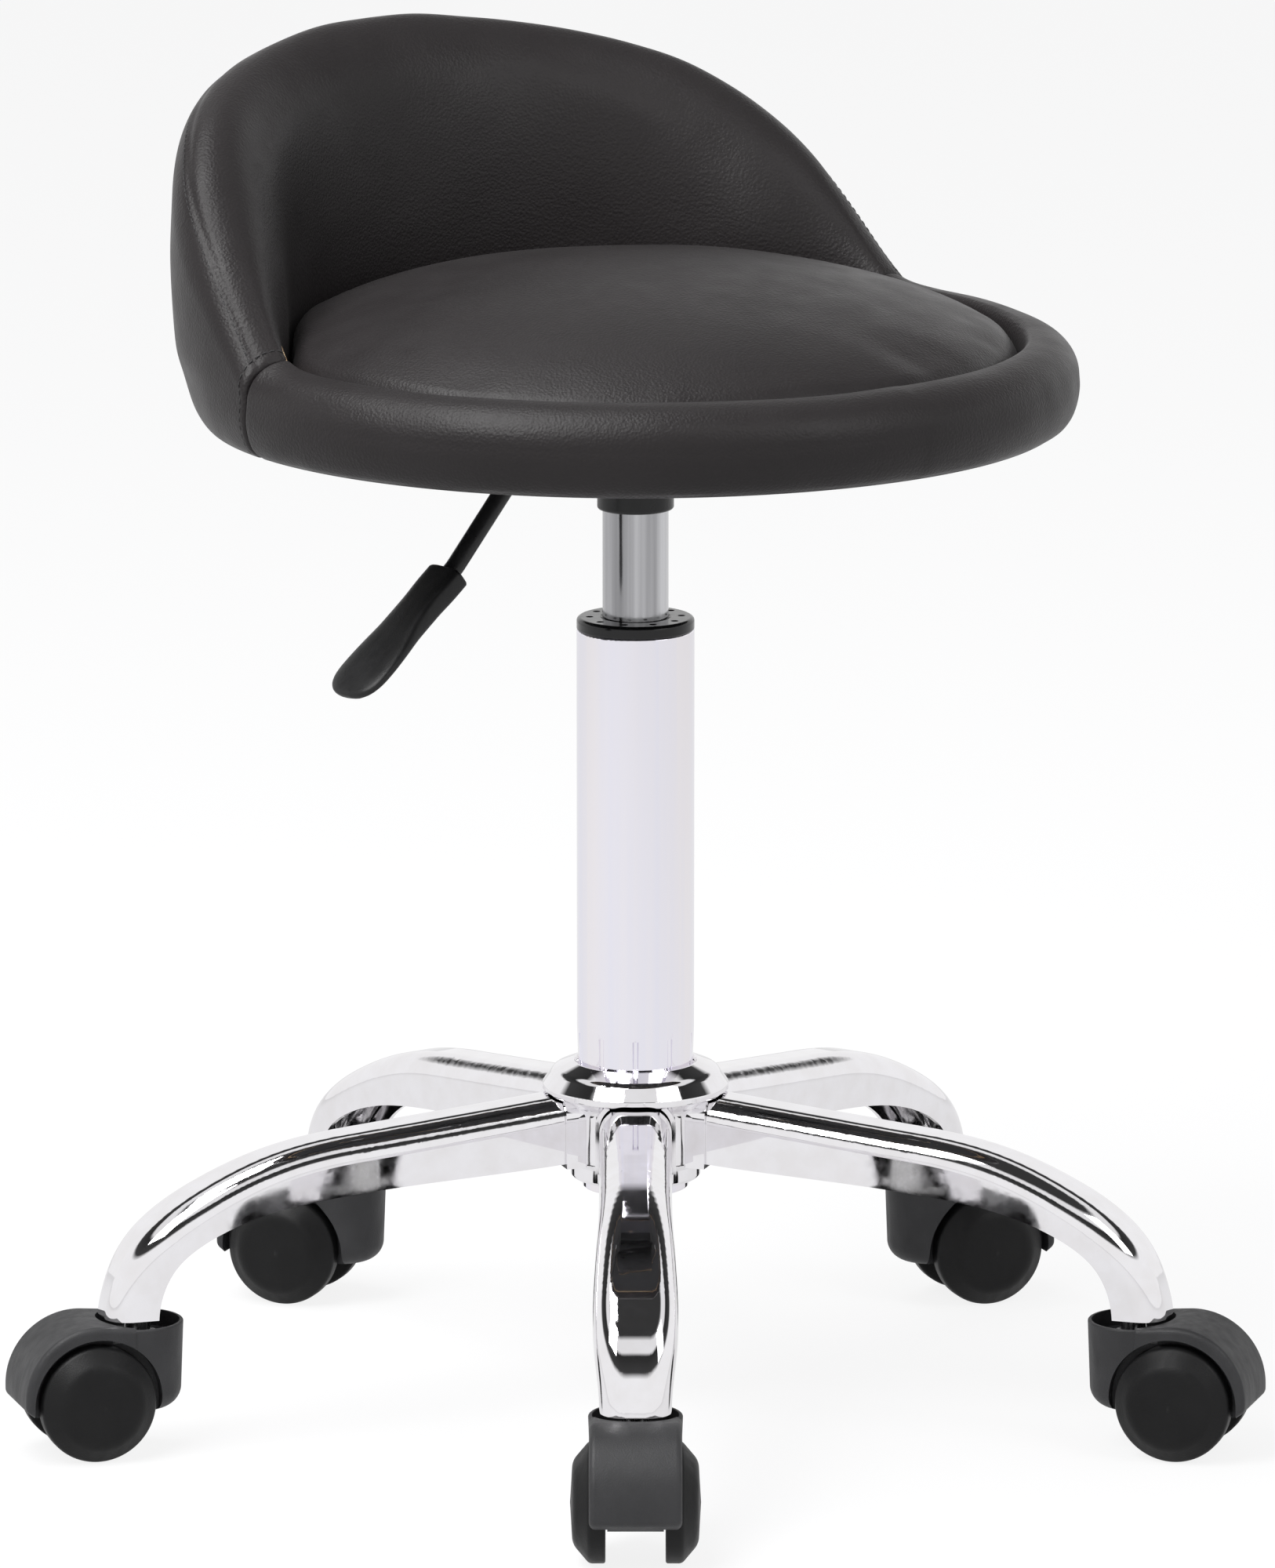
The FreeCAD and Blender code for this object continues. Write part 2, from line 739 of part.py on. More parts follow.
def mechanism_dish():
    """Pressed dish with a flange under the board, a hole for the socket and a slot for the lever."""
    body = new_body("mechanism_dish")
    flange = corners_of("plate_length", "plate_width")
    pad(body, PLATE_BOTTOM, [(x, y, "10") for x, y in flange], "plate_thickness")
    dish = corners_of("dish_length", "dish_width")
    pad(body, "dish_bottom", [(x, y, "8") for x, y in dish], "board_bottom - dish_bottom")
    hollow = raised_sketch(body, "board_bottom")
    inside = corners_of("dish_length - plate_thickness * 2", "dish_width - plate_thickness * 2")
    outline(hollow, [(x, y, "8 - plate_thickness") for x, y in inside])
    feature(body, "Pocket", hollow, Length="board_bottom - dish_bottom - plate_thickness")
    drill(body, "board_bottom", [("0", "0")], "socket_diameter + fit * 2", "board_bottom - dish_bottom")
    drill(body, "board_bottom", SCREW_PLACES, "screw_diameter + running * 2", "plate_thickness")
    pin_hole = new_sketch(body, "XZ")
    circles(pin_hole, [("-lever_pivot", "lever_height")], "pivot_diameter + fit * 2")
    feature(body, "Pocket", pin_hole, Length="dish_width * 2", Midplane=True)
    slot = new_sketch(body, "YZ")
    slot_half = "lever_diameter / 2 + 1.5"
    outline(slot, [
        (f"-({slot_half})", "lever_height - 8"),
        (slot_half, "lever_height - 8"),
        (slot_half, PLATE_BOTTOM),
        (f"-({slot_half})", PLATE_BOTTOM),
    ])
    feature(body, "Pocket", slot, Length="dish_length / 2 + 1")
    return body


def mechanism_socket():
    """Black collar with a tapered bore that grips the cylinder's top."""
    bore = "cylinder_diameter / 2 + fit"
    slope = "cylinder_taper / (cylinder_top - socket_bottom)"
    top_bore = f"{bore} - (socket_top - socket_bottom) * {slope}"
    return turned("mechanism_socket", [
        (bore, "socket_bottom"),
        ("socket_diameter / 2", "socket_bottom", "1.2"),
        ("socket_diameter / 2", "socket_top"),
        (top_bore, "socket_top"),
    ])


def lever_pin():
    return turned("lever_pin", [
        ("dish_width / -2 - 0.5", "0"),
        ("dish_width / 2 + 0.5", "0"),
        ("dish_width / 2 + 0.5", "pivot_diameter / 2"),
        ("dish_width / -2 - 0.5", "pivot_diameter / 2"),
    ], axis="H_Axis", plane="YZ")


def plate_screws():
    """Four pan-head screws that hold the dish to the tee nuts in the board."""
    shapes = []
    bottom = value(PLATE_BOTTOM)
    head, shank = value("screw_head / 2"), value("screw_diameter / 2")
    for x, y in SCREW_PLACES:
        foot = Vector(value(x), value(y), bottom - value("screw_head_height"))
        cap = Part.makeCylinder(head, value("screw_head_height"), foot)
        cap = cap.makeFillet(1.4, [edge for edge in cap.Edges if edge.BoundBox.ZMax < foot.z + 0.01])
        key = Part.makeCylinder(1.9, 1.8, foot)
        stud_length = value("plate_thickness + board_thickness - 1")
        stud = Part.makeCylinder(shank, stud_length, Vector(foot.x, foot.y, bottom))
        shapes.append(cap.fuse(stud).cut(key).removeSplitter())
    return solids_group("plate_screws", shapes)


def tee_nuts():
    """Four flanged nuts let into the board's upper face."""
    shapes = []
    top, sleeve = value("board_bottom + board_thickness"), value("board_thickness - 1")
    for x, y in SCREW_PLACES:
        place = Vector(value(x), value(y), top)
        flange_foot = place - UP * value("nut_flange_thickness")
        flange = Part.makeCylinder(value("nut_flange / 2"), value("nut_flange_thickness"), flange_foot)
        barrel = Part.makeCylinder(value("nut_sleeve / 2"), sleeve, place - UP * sleeve)
        thread = Part.makeCylinder(value("screw_diameter / 2 + fit"), sleeve, place - UP * sleeve)
        shapes.append(flange.fuse(barrel).cut(thread).removeSplitter())
    return solids_group("tee_nuts", shapes)


KNEE_X = "-lever_corner - lever_slant * cos(lever_drop)"
KNEE_HEIGHT = "lever_height - lever_slant * sin(lever_drop)"


def lever_rod():
    """Bent round rod, drilled for its hinge pin."""
    body = new_body("lever_rod")
    path = new_sketch(body, "XZ")
    lap = "(paddle_start + paddle_lap)"
    outline(path, [
        ("lever_inner_end", "lever_height"),
        ("-lever_corner", "lever_height", "lever_bend"),
        (KNEE_X, KNEE_HEIGHT, "lever_bend * 2"),
        (f"{KNEE_X} - {lap} * cos(paddle_drop)", f"{KNEE_HEIGHT} - {lap} * sin(paddle_drop)"),
    ], closed=False)
    section = new_sketch(body, "YZ", Placement(Vector(0, 0, value("lever_inner_end")), Rotation()))
    section.setExpression("AttachmentOffset.Base.z", formula("lever_inner_end"))
    circles(section, [("0", "lever_height")], "lever_diameter")
    pipe = body.newObject("PartDesign::AdditivePipe", "lever_rod_pipe")
    pipe.Profile = section
    pipe.Spine = path
    doc.recompute()
    hole = new_sketch(body, "XZ")
    circles(hole, [("-lever_pivot", "lever_height")], "pivot_diameter + running * 2")
    feature(body, "Pocket", hole, Length="lever_diameter * 2", Midplane=True)
    return body


def lever_paddle():
    """Plastic grip blade, waisted at the rod and widening to a round end, with a blind bore for the rod."""
    body = new_body("lever_paddle")
    half, neck = "paddle_width / 2", "paddle_neck / 2"
    pad(body, "-paddle_thickness / 2", [
        ("0", f"-({neck})", "2"),
        ("paddle_length * 0.3", f"-({neck})", "30"),
        ("paddle_length * 0.6", f"-({half})", "30"),
        ("paddle_length", f"-({half})", "8"),
        ("paddle_length", half, "8"),
        ("paddle_length * 0.6", half, "30"),
        ("paddle_length * 0.3", neck, "30"),
        ("0", neck, "2"),
    ], "paddle_thickness")
    for side in ("", "-"):
        trim = new_sketch(body, "XZ")
        far = f"{side}(paddle_thickness / 2 + 5)"
        thin = f"{side}(paddle_blade / 2)"
        outline(trim, [
            ("paddle_length * 0.35", f"{side}(paddle_thickness / 2)", "20"),
            ("paddle_length * 0.65", thin, "30"),
            ("paddle_length + 1", thin),
            ("paddle_length + 1", far),
            ("paddle_length * 0.35", far),
        ])
        feature(body, "Pocket", trim, Length="paddle_width * 2", Midplane=True)
    round_edges(body, "1.3", lambda edge: edge.BoundBox.ZLength < 0.01)
    bore = new_sketch(body, "YZ")
    circles(bore, [("0", "0")], "lever_diameter + fit * 2")
    feature(body, "Pocket", bore, Length="paddle_lap + gap", Reversed=True)
    drop = math.radians(value("paddle_drop"))
    reach = value("paddle_start")
    start_x = value(KNEE_X) - reach * math.cos(drop)
    start_height = value(KNEE_HEIGHT) - reach * math.sin(drop)
    turn = Rotation(UP, 180) * Rotation(Vector(0, 1, 0), value("paddle_drop"))
    body.Placement = Placement(Vector(start_x, 0, start_height), turn)
    return body


# ---------------------------------------------------------------- seat

BOARD_TOP = "board_bottom + board_thickness"
SCREW_HEIGHT = "board_bottom + board_thickness / 2"


def back_screw_angles():
    count = int(value("back_screw_count"))
    spread = value("back_half_angle") * 1.5
    return [90 - spread / 2 + spread / (count - 1) * index for index in range(count)]


def back_screw_tool(radius, start, length):
    """Cylinders along the backrest screws, from a start radius inwards."""
    shapes = []
    for angle in back_screw_angles():
        along = Rotation(UP, angle).multVec(Vector(1, 0, 0))
        head = along * start + UP * value(SCREW_HEIGHT)
        shapes.append(Part.makeCylinder(radius, length, head, along * -1))
    return shapes


def cut_screw_holes(label, body, start, length):
    """Node made of a body with the backrest screws' clearance holes cut through it."""
    tool = doc.addObject("Part::Feature", f"{label}_holes")
    tool.Shape = Part.Compound(back_screw_tool(value("back_screw_diameter / 2 + fit"), start, length))
    cut = doc.addObject("Part::Cut", label)
    cut.Base = body
    cut.Tool = tool
    cut.Label = label
    doc.recompute()
    return cut


def seat_board():
    """Round plywood board with counterbored holes for the tee nuts."""
    body = turned("seat_board_blank", [
        ("0", "board_bottom"),
        ("board_radius", "board_bottom", "1"),
        ("board_radius", BOARD_TOP, "1"),
        ("0", BOARD_TOP),
    ])
    drill(body, BOARD_TOP, SCREW_PLACES, "nut_sleeve + fit * 2", "board_thickness")
    drill(body, BOARD_TOP, SCREW_PLACES, "nut_flange + fit * 2", "nut_flange_thickness + fit")
    return cut_screw_holes("seat_board", body, value("board_radius") + 1, value("back_screw_length") + 1)


def seat_cushion():
    """Domed foam cushion, cut back where the backrest stands."""
    body = turned("seat_cushion", [
        ("0", f"{BOARD_TOP} + gap"),
        ("cushion_radius", f"{BOARD_TOP} + gap"),
        ("cushion_radius", "cushion_edge", "6"),
        ("cushion_radius * 0.62", "cushion_crown", "60"),
        ("0", "cushion_crown"),
    ])
    sketch = new_sketch(body, "YZ")
    outline(sketch, [
        ("back_inner_low - gap", BOARD_TOP),
        ("cushion_radius + 5", BOARD_TOP),
        ("cushion_radius + 5", "cushion_crown"),
        ("back_inner_low - gap", "cushion_crown"),
    ])
    feature(body, "Groove", sketch, ReferenceAxis=(sketch, ["V_Axis"]), Angle="back_half_angle * 2 + 1",
            Midplane=True)
    return body


def seat_rim():
    """Padded roll round the front of the seat, between the two ends of the backrest."""
    body = new_body("seat_rim")
    sketch = new_sketch(body, "YZ")
    outline(sketch, [
        ("-rim_inner", "rim_bottom", "3"),
        ("-rim_inner", "rim_top", "7"),
        ("-(rim_radius - 4)", "rim_top", "14"),
        ("-(rim_radius + 0.6)", "rim_top - 22", "16"),
        ("-(rim_radius - 7)", "rim_bottom", "8"),
    ])
    sweep = "360 - back_half_angle * 2 - 0.4"
    feature(body, "Revolution", sketch, ReferenceAxis=(sketch, ["V_Axis"]), Angle=sweep, Midplane=True)
    return body


def back_profile_cut(body, margin):
    """Trim a backrest layer to the line of the back's top, seen from the side, less a margin."""
    sketch = new_sketch(body, "YZ")
    low, corner = f"rim_bottom - {margin}", f"back_corner_height - {margin}"
    side_run = "back_corner_height - rim_bottom"
    outline(sketch, [
        (f"back_corner_y - ({side_run}) / tan(back_side_slope)", low),
        ("back_corner_y", corner, "back_round"),
        ("back_outer", f"back_top - {margin}"),
        ("back_outer + 20", f"back_top - {margin}"),
        ("back_outer + 20", "back_top + 60"),
        ("-60", "back_top + 60"),
        ("-60", low),
    ])
    feature(body, "Pocket", sketch, Length="back_outer * 3", Midplane=True)


def back_layer(label, corners, margin):
    body = new_body(label)
    sketch = new_sketch(body, "YZ")
    outline(sketch, corners)
    feature(body, "Revolution", sketch, ReferenceAxis=(sketch, ["V_Axis"]), Angle="back_half_angle * 2",
            Midplane=True)
    back_profile_cut(body, margin)
    return body


def shell_radius(height, margin="0"):
    """Inner radius of the leaning backrest shell at a height, as a formula."""
    return f"shell_inner + shell_lean * ({height} - board_bottom) / (back_top - board_bottom) + {margin}"


def backrest_pad():
    """Inner foam layer of the backrest, up to the top of the back."""
    high = "back_top + 30"
    return back_layer("backrest_pad", [
        ("back_inner_low", f"{BOARD_TOP} + gap"),
        (f"{shell_radius(BOARD_TOP)} - gap", f"{BOARD_TOP} + gap"),
        (f"{shell_radius(high)} - gap", high),
        ("back_inner_high", high),
        ("back_inner_high", "back_top - 30", "60"),
    ], "3")


def backrest_shell():
    """Bent plywood shell, screwed to the edge of the board."""
    high = "back_top + 30"
    body = back_layer("backrest_shell_blank", [
        (shell_radius("board_bottom"), "board_bottom"),
        (shell_radius("board_bottom", "shell_thickness"), "board_bottom"),
        (shell_radius(high, "shell_thickness"), high),
        (shell_radius(high), high),
    ], "10")
    start = value(shell_radius("board_bottom", "shell_thickness")) + 2
    return cut_screw_holes("backrest_shell", body, start, 30)


def backrest_panel():
    """Outer foam layer of the backrest, which gives the back its full outline."""
    high = "back_top + 30"
    return back_layer("backrest_panel", [
        (f"{shell_radius('rim_bottom', 'shell_thickness')} + gap * 3", "rim_bottom"),
        ("back_outer_low - 2", "rim_bottom", "9"),
        ("back_outer - 1", "rim_bottom + 26", "40"),
        ("back_outer", "back_top - 70", "200"),
        ("back_outer - 4", high),
        (f"{shell_radius(high, 'shell_thickness')} + gap * 3", high),
    ], "0")


def backrest_screws():
    """Wood screws through the shell into the edge of the board."""
    radius = value("back_screw_diameter / 2")
    start = value(shell_radius(SCREW_HEIGHT, "shell_thickness")) - 0.5
    return solids_group("backrest_screws", back_screw_tool(radius, start, value("back_screw_length")))


def dust_cover():
    """Thin cloth disc under the board, open round the dish's flange."""
    body = turned("dust_cover", [
        ("0", "board_bottom - running - cover_thickness"),
        ("board_radius - 2", "board_bottom - running - cover_thickness"),
        ("board_radius - 2", "board_bottom - running"),
        ("0", "board_bottom - running"),
    ])
    opening = raised_sketch(body, "board_bottom")
    outline(opening, corners_of("plate_length + 2", "plate_width + 2"))
    feature(body, "Pocket", opening, Length="10")
    return body


# ---------------------------------------------------------------- casters

def caster_stem(number, angle):
    """Swivel pin, flanged where it leaves the hood."""
    radius = "stem_diameter / 2"
    body = turned(f"caster_stem_{number}", [
        ("0", "stem_foot"),
        (radius, "stem_foot"),
        (radius, "hood_rim - mouth_depth"),
        ("stem_flange / 2", "hood_rim - mouth_depth"),
        ("stem_flange / 2", "hood_rim - mouth_depth + 2"),
        (radius, "hood_rim - mouth_depth + 2"),
        (radius, "stem_top", "1.5"),
        ("0", "stem_top"),
    ])
    at_stem(body, number, angle)
    return body


def caster_hood(number, angle):
    """Hood: a fender arched over both wheels, a web on the axle and a stem housing with an open mouth."""
    body = new_body(f"caster_hood_{number}")
    fender = new_sketch(body, "XZ")
    outline(fender, [
        ("fender_start", "hood_bottom + 1.5", "hood_edge"),
        ("fender_reach - 6", "fender_lip", "hood_edge * 1.5"),
        ("fender_reach", "fender_lip + 4.5", "hood_edge * 1.5"),
        ("fender_reach", "fender_top", "fender_round"),
        ("fender_start", "fender_top - 5", "hood_edge"),
    ])
    feature(body, "Pad", fender, Length="hood_half_width * 2", Midplane=True)
    half_width = value("hood_half_width")
    round_edges(body, "hood_edge - 0.1", lambda edge: abs(abs(edge.CenterOfMass.y) - half_width) < 0.01)
    housing = new_sketch(body, "XZ")
    outline(housing, [
        ("0", "hood_bottom"),
        ("hood_radius - 1.5", "hood_bottom", "9"),
        ("hood_radius", "hood_rim", "0.8"),
        ("0", "hood_rim"),
    ])
    feature(body, "Revolution", housing, ReferenceAxis=(housing, ["V_Axis"]))
    for side in (1, -1):
        offset = Placement(Vector(0, 0, side * value("hood_web")), Rotation())
        arch = new_sketch(body, "XZ", offset)
        circles(arch, [("trail", "wheel_radius")], "arch_radius * 2")
        feature(body, "Pocket", arch, Length="hood_half_width * 2", Reversed=side > 0)
    mouth = "(hood_radius - hood_wall) * 2"
    drill(body, "fender_top + 5", [("0", "0")], mouth, "fender_top + 5 - hood_rim + mouth_depth")
    drill(body, "hood_rim", [("0", "0")], "stem_diameter + fit * 2", "hood_rim - stem_foot")
    axle = new_sketch(body, "XZ")
    circles(axle, [("trail", "wheel_radius")], "axle_diameter + fit * 2")
    feature(body, "Pocket", axle, Length="hood_half_width * 3", Midplane=True)
    at_stem(body, number, angle)
    return body


def caster_axle(number, angle):
    body = turned(f"caster_axle_{number}", [
        ("-axle_half", "0"),
        ("axle_half", "0"),
        ("axle_half", "axle_diameter / 2", "0.6"),
        ("-axle_half", "axle_diameter / 2", "0.6"),
    ], axis="H_Axis", plane="YZ")
    at_stem(body, number, angle, "trail", "wheel_radius")
    return body


def caster_wheel(number, side, angle):
    """Wheel with a flat tread and a domed, closed outer face."""
    name = "left" if side > 0 else "right"
    sign = "" if side > 0 else "-"
    body = turned(f"caster_wheel_{number}_{name}", [
        (f"{sign}wheel_inner", "axle_diameter / 2 + running"),
        (f"{sign}wheel_inner", "wheel_radius", "1"),
        (f"{sign}wheel_tread", "wheel_radius", "3"),
        (f"{sign}(wheel_outer - 1)", "wheel_radius * 0.68", "8"),
        (f"{sign}wheel_outer", "0"),
        (f"{sign}(axle_half + 0.5)", "0"),
        (f"{sign}(axle_half + 0.5)", "axle_diameter / 2 + running"),
    ], axis="H_Axis", plane="YZ")
    at_stem(body, number, angle, "trail", "wheel_radius")
    return body


# ---------------------------------------------------------------- assembly

def build_all():
    nodes = [base_hub(), stem_sockets(), column_tube(), column_bush(), column_floor()]
    nodes.append(race("lower_race", FLOOR_TOP, "rod_diameter / 2 + gap"))
    nodes += [bearing_balls(), race("upper_race", BEARING_TOP, "rod_diameter / 2 + fit")]
    nodes += [piston_rod(), rod_clip(), piston(), gas_cylinder(), rod_gland(), valve_pin()]
    pin = lever_pin()
    pin.Placement = Placement(Vector(-value("lever_pivot"), 0, value("lever_height")), Rotation())
    nodes += [mechanism_dish(), mechanism_socket(), pin, plate_screws(), tee_nuts()]
    nodes += [lever_rod(), lever_paddle()]
    nodes += [seat_board(), seat_cushion(), seat_rim(), backrest_pad(), backrest_shell(), backrest_panel()]
    nodes += [backrest_screws(), dust_cover()]
    for number, angle in enumerate(arm_angles(), start=1):
        nodes += [arm(number, angle), caster_stem(number, angle), caster_hood(number, angle)]
        nodes.append(caster_axle(number, angle))
        nodes += [caster_wheel(number, side, angle) for side in (1, -1)]
    return nodes


def check(nodes):
    """Stop on any failed object or bad shape."""
    doc.recompute()
    failed = [item.Name for item in doc.Objects if {"Invalid", "Error"} & set(item.State)]
    failed += [node.Label for node in nodes if node.Shape.isNull() or not node.Shape.isValid()]
    if failed:
        raise RuntimeError(f"failed: {failed}")


nodes = build_all()
check(nodes)
os.makedirs("parts", exist_ok=True)
for node in nodes:
    node.Shape.exportStep(f"parts/{node.Label}.step")
print(f"{len(nodes)} nodes written")
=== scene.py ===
"""Looks of the adjustable swivel stool: upholstery, stitching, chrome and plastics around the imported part.

Frame: metres, origin on the floor under the column, +Z up, the seat faces -Y.
"""

import json
import math

import bmesh
import bpy
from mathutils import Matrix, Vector, kdtree, noise

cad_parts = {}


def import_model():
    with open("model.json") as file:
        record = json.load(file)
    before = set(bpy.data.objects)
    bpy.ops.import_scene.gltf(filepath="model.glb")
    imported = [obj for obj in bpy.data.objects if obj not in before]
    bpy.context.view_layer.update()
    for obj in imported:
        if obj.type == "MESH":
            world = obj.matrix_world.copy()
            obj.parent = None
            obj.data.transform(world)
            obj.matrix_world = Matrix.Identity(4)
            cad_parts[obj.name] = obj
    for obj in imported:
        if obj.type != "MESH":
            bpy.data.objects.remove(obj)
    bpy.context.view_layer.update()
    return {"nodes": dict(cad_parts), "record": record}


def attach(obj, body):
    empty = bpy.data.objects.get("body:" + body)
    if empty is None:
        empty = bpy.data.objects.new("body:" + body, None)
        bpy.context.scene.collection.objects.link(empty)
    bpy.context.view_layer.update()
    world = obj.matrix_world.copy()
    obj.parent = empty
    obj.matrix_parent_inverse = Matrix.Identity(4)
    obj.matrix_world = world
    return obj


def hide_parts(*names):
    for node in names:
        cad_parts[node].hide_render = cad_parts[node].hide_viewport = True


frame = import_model()

MM = 0.001


# ---------------------------------------------------------------- mesh helpers

def smoothstep(share):
    """Smooth step from 0 to 1 over a share from 0 to 1."""
    share = min(1.0, max(0.0, share))
    return share * share * (3 - 2 * share)


def along(table, x):
    """Value at x of a table of (x, value) pairs in rising x, on a smooth curve through them."""
    xs = [pair[0] for pair in table]
    ys = [pair[1] for pair in table]
    if x <= xs[0]:
        return ys[0]
    if x >= xs[-1]:
        return ys[-1]
    last = len(xs) - 1
    index = max(i for i in range(last) if xs[i] <= x)

    def slope(i):
        if i in (0, last):
            near = min(i, last - 1)
            return (ys[near + 1] - ys[near]) / (xs[near + 1] - xs[near])
        return (ys[i + 1] - ys[i - 1]) / (xs[i + 1] - xs[i - 1])

    step = xs[index + 1] - xs[index]
    t = (x - xs[index]) / step
    h00, h10 = 2 * t**3 - 3 * t**2 + 1, t**3 - 2 * t**2 + t
    h01, h11 = -2 * t**3 + 3 * t**2, t**3 - t**2
    return h00 * ys[index] + h10 * step * slope(index) + h01 * ys[index + 1] + h11 * step * slope(index + 1)


def new_mesh(name, vertices, faces):
    """Smooth-shaded object from millimetre vertices, with its faces turned outwards."""
    mesh = bpy.data.meshes.new(name)
    mesh.from_pydata([Vector(v) * MM for v in vertices], [], faces)
    made = bmesh.new()
    made.from_mesh(mesh)
    bmesh.ops.recalc_face_normals(made, faces=made.faces)
    made.to_mesh(mesh)
    made.free()
    mesh.shade_smooth()
    thing = bpy.data.objects.new(name, mesh)
    bpy.context.scene.collection.objects.link(thing)
    return thing


def loft(name, columns):
    """Closed form through equal columns of points: each column is a closed loop, and both ends are capped."""
    count = len(columns[0])
    vertices = [point for column in columns for point in column]
    faces = []
    for c in range(len(columns) - 1):
        for i in range(count):
            j = (i + 1) % count
            faces.append((c * count + i, c * count + j, (c + 1) * count + j, (c + 1) * count + i))
    faces.append(tuple(range(count)))
    faces.append(tuple((len(columns) - 1) * count + i for i in range(count)))
    return new_mesh(name, vertices, faces)


def polar(radius, turn, height):
    """Point at a turn in degrees from the middle of the back, positive towards the sitter's right."""
    a = math.radians(90 + turn)
    return Vector((radius * math.cos(a), radius * math.sin(a), height))


# ---------------------------------------------------------------- upholstery shapes

BACK_END = 80
RIDGE = [
    (0, 583), (8, 582.5), (16, 579.5), (24, 575.8), (32, 571), (40, 564.5), (47, 557), (54, 545.5), (60, 532.5),
    (65, 519.5), (69, 507), (73, 493.5), (77, 480), (80, 471.5), (83, 468.6), (88, 467.4), (94, 467.2),
]
OUTER_BACK = [
    (430, 180), (433, 183), (438, 185.6), (446, 188.4), (458, 191.4), (480, 193.4), (509, 194.2), (558, 191.8),
    (590, 188.5),
]
OUTER_RIM = [(430, 179), (432.5, 182.6), (437, 185.4), (445, 187.2), (452, 186.8), (470, 184), (590, 180)]
SEAT_RADIUS = 162
BACK_FOOT_RADIUS = 147
CROWN = 495.5
CROWN_DROP = 31.5
EDGE_ROLL = 7
BOARD_TOP = 449
UNDERSIDE = 430

# Points of a section: up the outer wall, over the outer shoulder, and down the inner face to the board.
WALL_STEPS = 20
SHOULDER_STEPS = 16
INNER_STEPS = 34
SEAM_INDEX = WALL_STEPS + 10.2


def back_share(turn):
    """1 where the wall of the back is full, 0 at the rim."""
    return smoothstep((BACK_END + 3 - abs(turn)) / 26)


def inner_radius(turn):
    """Foot of the inner face of the back or rim."""
    rim = SEAT_RADIUS + 0.8
    return rim + (BACK_FOOT_RADIUS - rim) * back_share(turn)


def outer_radius(turn, height):
    """Outer face of the back or rim."""
    share = smoothstep((BACK_END + 6 - abs(turn)) / 30)
    rim = along(OUTER_RIM, height)
    return rim + (along(OUTER_BACK, height) - rim) * share


def section(turn):
    """Closed loop (radius, height) of the back or rim at a turn, from the bottom's outer edge up and over."""
    top = along(RIDGE, abs(turn))
    full = back_share(turn)
    tall = smoothstep((top - 470) / 60)
    outer_drop = 17 + 5 * tall
    shoulder = top - outer_drop
    ridge = 167.5 + 10 * full
    loop = []
    for i in range(WALL_STEPS):
        height = UNDERSIDE + (shoulder - UNDERSIDE) * (i / WALL_STEPS) ** 1.25
        loop.append((outer_radius(turn, height), height))
    r_out = outer_radius(turn, shoulder)
    for i in range(SHOULDER_STEPS):
        a = math.radians(90 * i / SHOULDER_STEPS)
        loop.append((ridge + (r_out - ridge) * math.cos(a) ** 0.96, shoulder + outer_drop * math.sin(a) ** 0.96))
    foot, low = inner_radius(turn), BOARD_TOP + 2
    for i in range(INNER_STEPS):
        a = math.radians(90 * i / INNER_STEPS)
        loop.append((ridge - (ridge - foot) * math.sin(a), low + (top - low) * math.cos(a) ** 0.625))
    loop += [(foot, low), (foot + 0.4, BOARD_TOP + 0.4), (foot + 2, BOARD_TOP), (161.2, BOARD_TOP - 0.2)]
    loop += [(161.8, 447), (162, 438), (162, 431.5), (163, 430), (168, 429.6), (174, 429.6), (178.5, 429.7)]
    return loop


def shrink(loop, amount):
    """The loop moved inwards by an amount."""
    points = [Vector((r, z)) for r, z in loop]
    count = len(points)
    made = []
    for i, point in enumerate(points):
        ahead = (points[(i + 1) % count] - points[i - 1]).normalized()
        made.append(point + Vector((-ahead.y, ahead.x)) * amount)
    return made


def wavy(place, scale, height, seed):
    """Slow, small unevenness of a stuffed surface."""
    return noise.noise(Vector(place) / scale + Vector((seed, seed * 2.3, seed * 0.7))) * height


def upholstery(name, first, last, seamed):
    """Back or rim between two turns, with rolled ends, a seam line near the ridge and slight unevenness."""
    ends = [(0.0, 2.6), (0.25, 1.3), (0.7, 0.55), (1.5, 0.12), (2.6, 0)]
    span = last - first
    turns = []
    for reach, inset in ends:
        turns.append((first + math.degrees(reach / 180), inset))
    steps = int(span)
    margin = 1.3
    for i in range(steps + 1):
        turns.append((first + margin + (span - 2 * margin) * i / steps, 0))
    for reach, inset in reversed(ends):
        turns.append((last - math.degrees(reach / 180), inset))
    columns = []
    for turn, inset in turns:
        around = (turn + 180) % 360 - 180
        points = shrink(section(around), inset)
        count = len(points)
        column = []
        for i, point in enumerate(points):
            before, after = points[i - 1], points[(i + 1) % count]
            ahead = (after - before).normalized()
            outward = Vector((ahead.y, -ahead.x))
            push = wavy((point.x, around * 3, point.y), 46, 0.55, 3.1) if 2 < i < 66 else 0
            if seamed:
                push -= 0.95 * math.exp(-(((i - SEAM_INDEX) / 0.7) ** 2))
            moved = point + outward * push
            column.append(polar(moved.x, around, moved.y))
        columns.append(column)
    return loft(name, columns)


def loop_point(turn, index):
    """Point and outward direction on the back's face at a fractional index of the section."""
    loop = section(turn)
    low = int(index)
    share = index - low
    a, b = Vector(loop[low]), Vector(loop[low + 1])
    place = a + (b - a) * share
    ahead = (b - a).normalized()
    outward = Vector((ahead.y, -ahead.x))
    middle = polar(place.x, turn, place.y)
    tip = polar(place.x + outward.x, turn, place.y + outward.y)
    return middle, (tip - middle).normalized()


